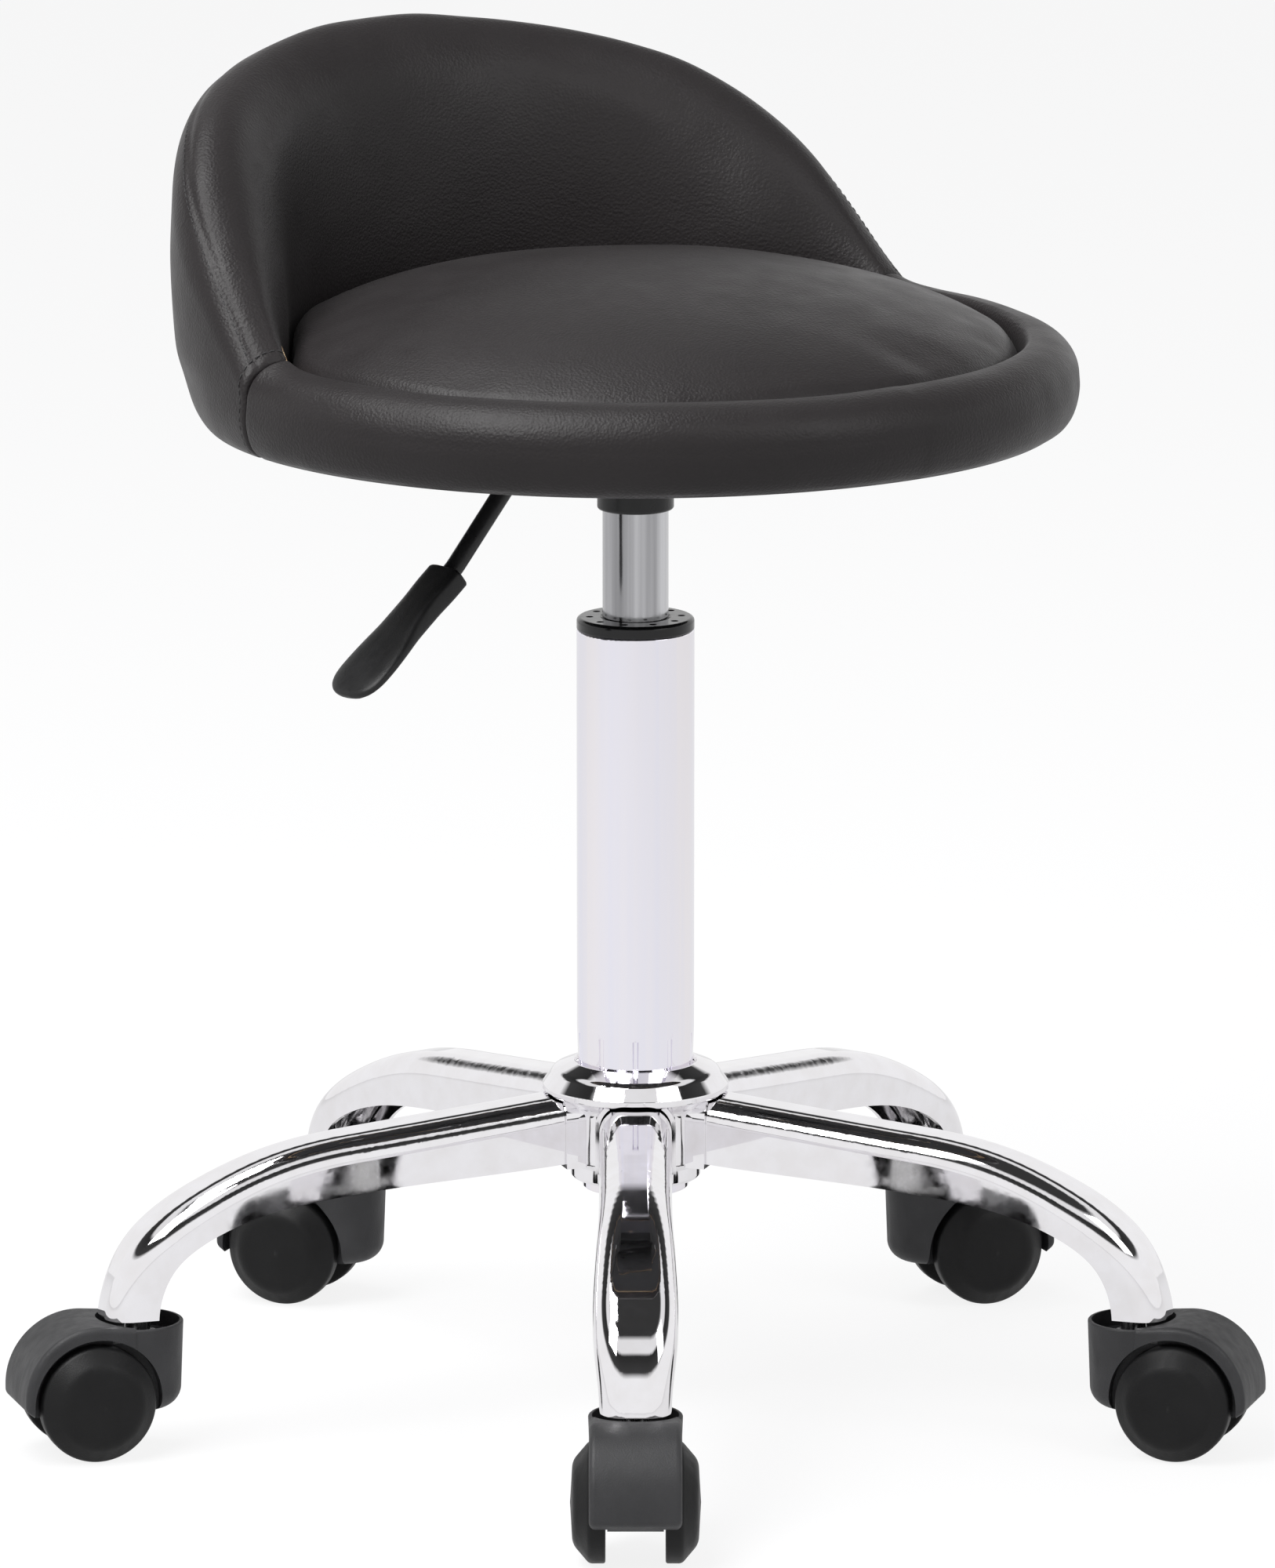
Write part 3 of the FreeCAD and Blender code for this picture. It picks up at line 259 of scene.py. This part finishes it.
def cushion_radius(turn):
    """Edge of the seat cushion, just inside the back and rim."""
    around = (turn + 180) % 360 - 180
    return inner_radius(around) - 0.5


def dome(radius):
    """Height of the cushion's top at a radius."""
    return CROWN - CROWN_DROP * (radius / SEAT_RADIUS) ** 2.3


def cushion():
    """Domed seat cushion that rolls down to its border all round."""
    rings = [0.0, 0.06, 0.12, 0.19, 0.26, 0.33, 0.4, 0.47, 0.54, 0.6, 0.66, 0.72, 0.77, 0.82, 0.86, 0.895, 0.92]
    sectors = 180
    vertices = [(0, 0, CROWN)]
    rows = [("top", share) for share in rings[1:]]
    rows += [("roll", step / 8) for step in range(1, 9)]
    rows += [("side", 0), ("under", 0.97), ("under", 0.6)]
    for kind, share in rows:
        for s in range(sectors):
            turn = 360 / sectors * s
            edge = cushion_radius(turn)
            start = edge - EDGE_ROLL
            if kind == "top":
                radius = start * share / rings[-1]
                height = dome(radius)
                height += wavy(polar(radius, turn, 0), 60, 0.7, 1.7) * smoothstep(radius / 40)
            elif kind == "roll":
                a = math.radians(90 * share)
                radius = start + EDGE_ROLL * math.sin(a)
                height = dome(radius) - EDGE_ROLL * (1 - math.cos(a))
            elif kind == "side":
                radius, height = edge - 0.4, BOARD_TOP + 0.6
            else:
                radius, height = edge * share, BOARD_TOP
            vertices.append(polar(radius, turn, height))
    vertices.append((0, 0, BOARD_TOP))
    faces = []
    for s in range(sectors):
        t = (s + 1) % sectors
        faces.append((0, 1 + s, 1 + t))
        for r in range(len(rows) - 1):
            a, b = 1 + r * sectors, 1 + (r + 1) * sectors
            faces.append((a + s, b + s, b + t, a + t))
        final = 1 + (len(rows) - 1) * sectors
        faces.append((final + s, len(vertices) - 1, final + t))
    return new_mesh("seat_cushion_cover", vertices, faces)


def stitches(name, path, length, thread):
    """Row of short stitches along a path of (point, outward) pairs."""
    vertices, faces = [], []
    for middle, outward, ahead in path:
        side = outward.cross(ahead).normalized()
        rings = [(-0.5, 0.35, -0.6), (-0.36, 0.9, -0.32), (0, 1, -0.22), (0.36, 0.9, -0.32), (0.5, 0.35, -0.6)]
        start = len(vertices)
        for run, fat, rise in rings:
            centre = middle + ahead * (run * length) + outward * (rise * thread)
            for k in range(8):
                a = math.radians(45 * k)
                vertices.append(centre + (side * math.cos(a) + outward * math.sin(a)) * (thread / 2 * fat))
        for ring in range(len(rings) - 1):
            for k in range(8):
                m = (k + 1) % 8
                a, b = start + ring * 8, start + (ring + 1) * 8
                faces.append((a + k, a + m, b + m, b + k))
        faces.append(tuple(start + k for k in range(8)))
        faces.append(tuple(start + (len(rings) - 1) * 8 + k for k in range(8)))
    return new_mesh(name, vertices, faces)


def spaced(points, pitch):
    """Even steps along a line of (point, outward) pairs: point, outward, direction."""
    made = []
    carried = pitch / 2
    for (a, out_a), (b, out_b) in zip(points, points[1:]):
        run = (b - a).length
        while carried <= run:
            share = carried / run
            outward = (out_a + (out_b - out_a) * share).normalized()
            made.append((a + (b - a) * share, outward, (b - a).normalized()))
            carried += pitch
        carried -= run
    return made


def back_seam_path():
    """Line of the topstitching just under the seam between the back's inner and outer panels."""
    return [loop_point(turn / 2, SEAM_INDEX - 1.75) for turn in range(-158, 159)]


def end_seam_path(side):
    """Line of the topstitching beside the seam at one end of the back."""
    turn = side * (BACK_END - math.degrees(3.6 / 180))
    return [loop_point(turn, index / 4) for index in range(8, 4 * 62)]


# ---------------------------------------------------------------- grip of the lever

GRIP_WIDTH = [
    (0, 20), (10, 20), (20, 19.4), (32, 22), (44, 27), (54, 29.5), (62, 29), (67, 25), (70, 19), (71.4, 13), (72, 7),
]
GRIP_DEPTH = [(0, 10), (14, 10.2), (26, 9.6), (40, 7.4), (54, 6.2), (66, 5.4), (70.5, 4), (72, 1.8)]
GRIP_START = Vector((-101.3, 0, 376.65))
GRIP_DROP = math.radians(38.5)


def grip():
    """Moulded grip: square-cut sleeve on the rod that widens into a flat blade with an oval end."""
    ahead = Vector((-math.cos(GRIP_DROP), 0, -math.sin(GRIP_DROP)))
    over = Vector((math.sin(GRIP_DROP), 0, -math.cos(GRIP_DROP)))
    side = Vector((0, 1, 0))
    stations = [(0, 0.86), (0.5, 0.95), (1.2, 1)] + [(2 + 2 * i, 1) for i in range(31)]
    stations += [(64 + i, 1) for i in range(7)] + [(70.6, 1), (71.2, 1), (71.7, 1), (72, 1)]
    columns = []
    for reach, scale in stations:
        half, thick = along(GRIP_WIDTH, reach) / 2 * scale, along(GRIP_DEPTH, reach) / 2 * scale
        power = 0.42 + 0.3 * smoothstep(reach / 60)
        column = []
        for k in range(40):
            a = math.radians(9 * k)
            across = math.copysign(abs(math.cos(a)) ** power, math.cos(a)) * half
            up = math.copysign(abs(math.sin(a)) ** power, math.sin(a)) * thick
            column.append(GRIP_START + ahead * reach + side * across + over * up)
        columns.append(column)
    return loft("lever_grip", columns)


# ---------------------------------------------------------------- stuffing

def move_of(piece, cap, voxel):
    """How the cover of a stuffed form moves under its filling: a function of a point, in metres."""
    trial = piece.copy()
    trial.data = piece.data.copy()
    trial.modifiers.clear()
    bpy.context.scene.collection.objects.link(trial)
    bpy.ops.object.select_all(action="DESELECT")
    bpy.context.view_layer.objects.active = trial
    trial.select_set(True)
    grid = trial.modifiers.new("grid", "REMESH")
    grid.mode = "VOXEL"
    grid.voxel_size = voxel
    bpy.ops.object.modifier_apply(modifier="grid")
    before = [v.co.copy() for v in trial.data.vertices]
    cloth = trial.modifiers.new("cloth", "CLOTH")
    cloth.settings.use_pressure = True
    cloth.settings.uniform_pressure_force = 4
    cloth.settings.effector_weights.gravity = 0
    cloth.settings.quality = 5
    cloth.point_cache.frame_start, cloth.point_cache.frame_end = 1, 20
    for number in range(1, 21):
        bpy.context.scene.frame_set(number)
    swollen = trial.evaluated_get(bpy.context.evaluated_depsgraph_get())
    moves = [after.co - rest for after, rest in zip(swollen.data.vertices, before)]
    moves = [step if step.length < cap else step.normalized() * cap for step in moves]
    tree = kdtree.KDTree(len(before))
    for index, place in enumerate(before):
        tree.insert(place, index)
    tree.balance()
    bpy.context.scene.frame_set(1)
    spare = trial.data
    bpy.data.objects.remove(trial)
    bpy.data.meshes.remove(spare)

    def move(point):
        total, weight = Vector((0, 0, 0)), 0
        for _, index, distance in tree.find_n(point, 12):
            share = 1 / (distance + voxel) ** 2
            total += moves[index] * share
            weight += share
        return total / weight

    return move


def free_share(point):
    """1 where the filling moves a cover, 0 at its flat underside."""
    return smoothstep((point.z - 0.452) / 0.012)


def stuff(piece, cap, voxel):
    """Let a cover swell and settle under its filling, and keep its flat underside."""
    move = move_of(piece, cap, voxel)
    for vertex in piece.data.vertices:
        vertex.co += move(vertex.co) * free_share(vertex.co)
    piece.data.update()
    return move


# ---------------------------------------------------------------- materials

def material(name):
    """New node material and its shader."""
    made = bpy.data.materials.new(name)
    made.use_nodes = True
    nodes = made.node_tree.nodes
    return made, nodes, made.node_tree.links, nodes["Principled BSDF"]


def texture(nodes, links, kind, scale, stretch=(1, 1, 1), **settings):
    """Procedural texture in the object's own coordinates."""
    place = nodes.new("ShaderNodeTexCoord")
    mapping = nodes.new("ShaderNodeMapping")
    mapping.inputs["Scale"].default_value = stretch
    made = nodes.new(kind)
    made.inputs["Scale"].default_value = scale
    for key, setting in settings.items():
        if key in made.inputs:
            made.inputs[key].default_value = setting
        else:
            setattr(made, key, setting)
    links.new(place.outputs["Object"], mapping.inputs["Vector"])
    links.new(mapping.outputs["Vector"], made.inputs["Vector"])
    return made


def ramp(nodes, links, source, stops):
    """Colour ramp over a source, as (position, value or colour)."""
    made = nodes.new("ShaderNodeValToRGB")
    while len(made.color_ramp.elements) < len(stops):
        made.color_ramp.elements.new(0.5)
    for element, (position, colour) in zip(made.color_ramp.elements, stops):
        element.position = position
        if isinstance(colour, (int, float)):
            colour = (colour, colour, colour)
        element.color = (*colour, 1)
    links.new(source, made.inputs["Fac"])
    return made.outputs["Color"]


def bump(nodes, links, height, distance, strength=1.0, base=None):
    """Bump from a height, on top of another bump where there is one."""
    made = nodes.new("ShaderNodeBump")
    made.inputs["Strength"].default_value = strength
    made.inputs["Distance"].default_value = distance
    links.new(height, made.inputs["Height"])
    if base is not None:
        links.new(base, made.inputs["Normal"])
    return made.outputs["Normal"]


def leather():
    """Charcoal faux leather: pebble grain, fine pores and slow changes of tone."""
    made, nodes, links, shader = material("leather_grain")
    tone = texture(nodes, links, "ShaderNodeTexNoise", 14, Detail=4)
    links.new(ramp(nodes, links, tone.outputs["Fac"], [
        (0.3, (0.0112, 0.0094, 0.0098)), (0.7, (0.0150, 0.0128, 0.0133)),
    ]), shader.inputs["Base Color"])
    gloss = texture(nodes, links, "ShaderNodeTexNoise", 55, Detail=5)
    links.new(ramp(nodes, links, gloss.outputs["Fac"], [(0.3, 0.4), (0.7, 0.5)]), shader.inputs["Roughness"])
    shader.inputs["Specular IOR Level"].default_value = 0.24
    shader.inputs["Sheen Weight"].default_value = 0.03
    shader.inputs["Sheen Roughness"].default_value = 0.4
    cells = texture(nodes, links, "ShaderNodeTexVoronoi", 820, feature="SMOOTH_F1", Smoothness=0.6)
    folds = texture(nodes, links, "ShaderNodeTexNoise", 260, Detail=3)
    pores = texture(nodes, links, "ShaderNodeTexNoise", 1900, Detail=1)
    rough = bump(nodes, links, folds.outputs["Fac"], 0.00025, 0.2)
    grain = bump(nodes, links, cells.outputs["Distance"], 0.0004, 0.4, rough)
    links.new(bump(nodes, links, pores.outputs["Fac"], 0.0002, 0.3, grain), shader.inputs["Normal"])
    return made


def thread():
    """Twisted black thread."""
    made, nodes, links, shader = material("seam_thread")
    twist = texture(nodes, links, "ShaderNodeTexWave", 900, Distortion=2)
    links.new(ramp(nodes, links, twist.outputs["Fac"], [
        (0.2, (0.008, 0.008, 0.009)), (0.8, (0.022, 0.021, 0.022)),
    ]), shader.inputs["Base Color"])
    shader.inputs["Roughness"].default_value = 0.6
    links.new(bump(nodes, links, twist.outputs["Fac"], 0.0002, 0.5), shader.inputs["Normal"])
    return made


def metal(name, colour, low, high, grain, stretch, dent, dark):
    """Polished or satin metal with a fine grain, slight tone changes and a little waviness."""
    made, nodes, links, shader = material(name)
    shader.inputs["Metallic"].default_value = 1
    tone = texture(nodes, links, "ShaderNodeTexNoise", grain, stretch, Detail=6)
    links.new(ramp(nodes, links, tone.outputs["Fac"], [(0.35, dark), (0.65, colour)]), shader.inputs["Base Color"])
    wear = texture(nodes, links, "ShaderNodeTexNoise", grain * 2.7, stretch, Detail=3)
    links.new(ramp(nodes, links, wear.outputs["Fac"], [(0.35, low), (0.7, high)]), shader.inputs["Roughness"])
    waves = texture(nodes, links, "ShaderNodeTexNoise", 28, Detail=1)
    links.new(bump(nodes, links, waves.outputs["Fac"], dent, 1), shader.inputs["Normal"])
    return made


def plastic(name, colour, low, high, grain, depth, gloss=0.5):
    """Moulded plastic with an etched grain and faint scuffs."""
    made, nodes, links, shader = material(name)
    tone = texture(nodes, links, "ShaderNodeTexNoise", 60, Detail=5)
    dark = tuple(c * 0.82 for c in colour)
    light = tuple(c * 1.12 for c in colour)
    links.new(ramp(nodes, links, tone.outputs["Fac"], [(0.3, dark), (0.7, light)]), shader.inputs["Base Color"])
    scuffs = texture(nodes, links, "ShaderNodeTexNoise", 240, (1, 1, 0.3), Detail=6)
    links.new(ramp(nodes, links, scuffs.outputs["Fac"], [(0.35, low), (0.7, high)]), shader.inputs["Roughness"])
    shader.inputs["Specular IOR Level"].default_value = gloss
    etched = texture(nodes, links, "ShaderNodeTexNoise", grain, Detail=3)
    links.new(bump(nodes, links, etched.outputs["Fac"], depth, 0.6), shader.inputs["Normal"])
    return made


def plywood():
    """Raw plywood: plies along the edge and grain on the face."""
    made, nodes, links, shader = material("plywood_raw")
    plies = texture(nodes, links, "ShaderNodeTexNoise", 30, (0.6, 8, 40), Detail=6)
    links.new(ramp(nodes, links, plies.outputs["Fac"], [
        (0.3, (0.3, 0.18, 0.09)), (0.5, (0.48, 0.33, 0.19)), (0.7, (0.6, 0.45, 0.28)),
    ]), shader.inputs["Base Color"])
    shader.inputs["Roughness"].default_value = 0.75
    links.new(bump(nodes, links, plies.outputs["Fac"], 0.0004, 0.5), shader.inputs["Normal"])
    return made


def felt():
    """Thin non-woven cloth with pressed dots."""
    made, nodes, links, shader = material("cover_felt")
    dots = texture(nodes, links, "ShaderNodeTexVoronoi", 600)
    links.new(ramp(nodes, links, dots.outputs["Distance"], [
        (0.1, (0.008, 0.008, 0.008)), (0.5, (0.02, 0.02, 0.021)),
    ]), shader.inputs["Base Color"])
    shader.inputs["Roughness"].default_value = 0.95
    shader.inputs["Sheen Weight"].default_value = 0.2
    links.new(bump(nodes, links, dots.outputs["Distance"], 0.0003, 0.7), shader.inputs["Normal"])
    return made


CHROME = (0.87, 0.86, 0.885)
LOOKS = {
    "leather": leather(),
    "chrome": metal("chrome_plate", CHROME, 0.03, 0.065, 90, (1, 1, 1), 0.00001, (0.83, 0.815, 0.83)),
    "steel": metal("satin_steel", (0.62, 0.62, 0.63), 0.2, 0.34, 300, (1, 1, 0.05), 0.00003, (0.55, 0.55, 0.56)),
    "zinc_socket": metal("zinc_casting", (0.7, 0.7, 0.7), 0.22, 0.36, 160, (1, 1, 1), 0.0001, (0.6, 0.6, 0.59)),
    "black_steel": plastic("black_enamel", (0.009, 0.009, 0.0095), 0.26, 0.4, 700, 0.00006, 0.35),
    "bush_plastic": plastic("gloss_black", (0.004, 0.004, 0.0045), 0.12, 0.22, 500, 0.00002, 0.4),
    "hood_plastic": plastic("hood_matt", (0.028, 0.028, 0.0295), 0.44, 0.56, 1500, 0.00022, 0.3),
    "wheel_plastic": plastic("wheel_matt", (0.0062, 0.0062, 0.0065), 0.4, 0.52, 1700, 0.00016, 0.2),
    "paddle_plastic": plastic("paddle_satin", (0.009, 0.009, 0.0095), 0.36, 0.48, 1300, 0.00014, 0.3),
    "plywood": plywood(),
    "cloth": felt(),
}
STREAKS = (1, 1, 0.012)
TUBE = metal("column_chrome", (0.885, 0.855, 0.885), 0.04, 0.09, 110, STREAKS, 0.00001, (0.835, 0.825, 0.905))
CYLINDER = metal("ground_cylinder", (0.66, 0.66, 0.68), 0.12, 0.26, 95, STREAKS, 0.00002, (0.28, 0.28, 0.29))

for subpart in frame["record"]["subparts"]:
    node = frame["nodes"][subpart["node"]]
    node.data.materials.clear()
    node.data.materials.append(LOOKS[subpart["material_slot"]])
for name, look in (("column_tube", TUBE), ("gas_cylinder", CYLINDER)):
    frame["nodes"][name].data.materials.clear()
    frame["nodes"][name].data.materials.append(look)


# ---------------------------------------------------------------- upholstery pieces

def finish_piece(piece, look, levels=0):
    """Material, smoothing and body of a piece of the seat."""
    piece.data.materials.append(look)
    if levels:
        smoother = piece.modifiers.new("smoother", "SUBSURF")
        smoother.levels = smoother.render_levels = levels
    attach(piece, "seat")


seat_cover = cushion()
stuff(seat_cover, 0.0025, 0.005)
finish_piece(seat_cover, LOOKS["leather"], 1)
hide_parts("seat_cushion")

rim_cover = upholstery("seat_rim_cover", BACK_END + 0.05, 360 - BACK_END - 0.05, False)
finish_piece(rim_cover, LOOKS["leather"], 1)
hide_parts("seat_rim")

back_cover = upholstery("backrest_cover", -BACK_END, BACK_END, True)
back_move = stuff(back_cover, 0.0015, 0.006)
finish_piece(back_cover, LOOKS["leather"], 1)
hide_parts("backrest_pad", "backrest_panel")

STITCH_PITCH, STITCH_LENGTH, THREAD_WIDTH = 3.7, 2.7, 0.62
THREAD = thread()
seams = [("back_seam_stitches", back_seam_path())]
seams += [(f"end_seam_stitches_{word}", end_seam_path(side)) for word, side in (("right", 1), ("left", -1))]
for name, path in seams:
    row = stitches(name, spaced(path, STITCH_PITCH), STITCH_LENGTH, THREAD_WIDTH)
    for vertex in row.data.vertices:
        vertex.co += back_move(vertex.co) * free_share(vertex.co)
    finish_piece(row, THREAD)

grip_cover = grip()
grip_cover.data.materials.append(LOOKS["paddle_plastic"])
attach(grip_cover, "lever")
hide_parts("lever_paddle")


# ---------------------------------------------------------------- stage

def world():
    """White surroundings, which in gloss show a white sweep, a dark ceiling and light panels."""
    made = bpy.data.worlds.new("studio")
    bpy.context.scene.world = made
    made.use_nodes = True
    nodes, links = made.node_tree.nodes, made.node_tree.links
    background = nodes["Background"]
    place = nodes.new("ShaderNodeTexCoord")
    split = nodes.new("ShaderNodeSeparateXYZ")
    links.new(place.outputs["Generated"], split.inputs[0])
    up = ramp(nodes, links, split.outputs["Z"], [
        (0.0, 0.96), (0.43, 0.96), (0.5, 0.05), (0.7, 0.025), (0.74, 0.85), (0.86, 0.85), (0.9, 0.04), (1.0, 0.04),
    ])
    rays = nodes.new("ShaderNodeLightPath")
    gloss = nodes.new("ShaderNodeMixRGB")
    links.new(rays.outputs["Is Glossy Ray"], gloss.inputs["Fac"])
    gloss.inputs["Color1"].default_value = (0.42, 0.42, 0.43, 1)
    links.new(up, gloss.inputs["Color2"])
    seen = nodes.new("ShaderNodeMixRGB")
    links.new(rays.outputs["Is Camera Ray"], seen.inputs["Fac"])
    links.new(gloss.outputs["Color"], seen.inputs["Color1"])
    seen.inputs["Color2"].default_value = (1, 1, 1, 1)
    links.new(seen.outputs["Color"], background.inputs["Color"])
    background.inputs["Strength"].default_value = 1


def floor():
    """Very large pale floor that keeps a soft shadow."""
    bpy.ops.mesh.primitive_plane_add(size=120, location=(0, 0, 0))
    made = bpy.context.object
    made.name = "studio_floor"
    look = bpy.data.materials.new("pale_floor")
    look.use_nodes = True
    nodes, links = look.node_tree.nodes, look.node_tree.links
    nodes.clear()
    out = nodes.new("ShaderNodeOutputMaterial")
    diffuse = nodes.new("ShaderNodeBsdfDiffuse")
    diffuse.inputs["Color"].default_value = (0.86, 0.86, 0.87, 1)
    glow = nodes.new("ShaderNodeEmission")
    rays = nodes.new("ShaderNodeLightPath")
    tint = nodes.new("ShaderNodeMixRGB")
    tint.inputs["Color1"].default_value = (0.84, 0.84, 0.84, 1)
    tint.inputs["Color2"].default_value = (1, 1, 1, 1)
    links.new(rays.outputs["Is Camera Ray"], tint.inputs["Fac"])
    links.new(tint.outputs["Color"], glow.inputs["Color"])
    either = nodes.new("ShaderNodeMath")
    either.operation = "MAXIMUM"
    links.new(rays.outputs["Is Camera Ray"], either.inputs[0])
    links.new(rays.outputs["Is Glossy Ray"], either.inputs[1])
    share = nodes.new("ShaderNodeMath")
    share.operation = "MULTIPLY"
    links.new(either.outputs[0], share.inputs[0])
    share.inputs[1].default_value = 0.86
    mix = nodes.new("ShaderNodeMixShader")
    links.new(share.outputs[0], mix.inputs["Fac"])
    links.new(diffuse.outputs[0], mix.inputs[1])
    links.new(glow.outputs[0], mix.inputs[2])
    links.new(mix.outputs[0], out.inputs["Surface"])
    made.data.materials.append(look)


def softbox(name, azimuth, elevation, distance, width, height, power):
    """Area lamp that faces the object's middle: azimuth 0 is the side the seat faces."""
    lamp = bpy.data.lights.new(name, "AREA")
    lamp.shape = "RECTANGLE"
    lamp.size, lamp.size_y = width, height
    lamp.energy = power
    thing = bpy.data.objects.new(name, lamp)
    a, e = math.radians(azimuth), math.radians(elevation)
    away = Vector((math.sin(a) * math.cos(e), -math.cos(a) * math.cos(e), math.sin(e)))
    thing.location = Vector((0, 0, 0.3)) + away * distance
    thing.rotation_mode = "QUATERNION"
    thing.rotation_quaternion = away.to_track_quat("Z", "Y")
    bpy.context.scene.collection.objects.link(thing)


def camera():
    """The photo's viewing angle: 40 degrees to the sitter's right of the front, 12 degrees down."""
    lens = bpy.data.cameras.new("camera")
    lens.lens = 260.855
    lens.sensor_width = 36
    lens.shift_x = 0.00125
    lens.clip_start, lens.clip_end = 0.1, 200
    thing = bpy.data.objects.new("camera", lens)
    azimuth, distance, height, pitch = math.radians(-40), 4.72037, 1.28678, 0.2116
    thing.location = (math.sin(azimuth) * distance, -math.cos(azimuth) * distance, height)
    thing.rotation_euler = (math.pi / 2 - pitch, 0, azimuth)
    bpy.context.scene.collection.objects.link(thing)
    bpy.context.scene.camera = thing


world()
floor()
softbox("key_softbox", -85, 50, 2.6, 1.4, 1.4, 58)
softbox("fill_softbox", 15, 40, 2.8, 1.2, 1.6, 20)
softbox("top_softbox", -130, 72, 2.4, 1.4, 1.0, 36)
camera()
bpy.context.scene.view_settings.view_transform = "Standard"
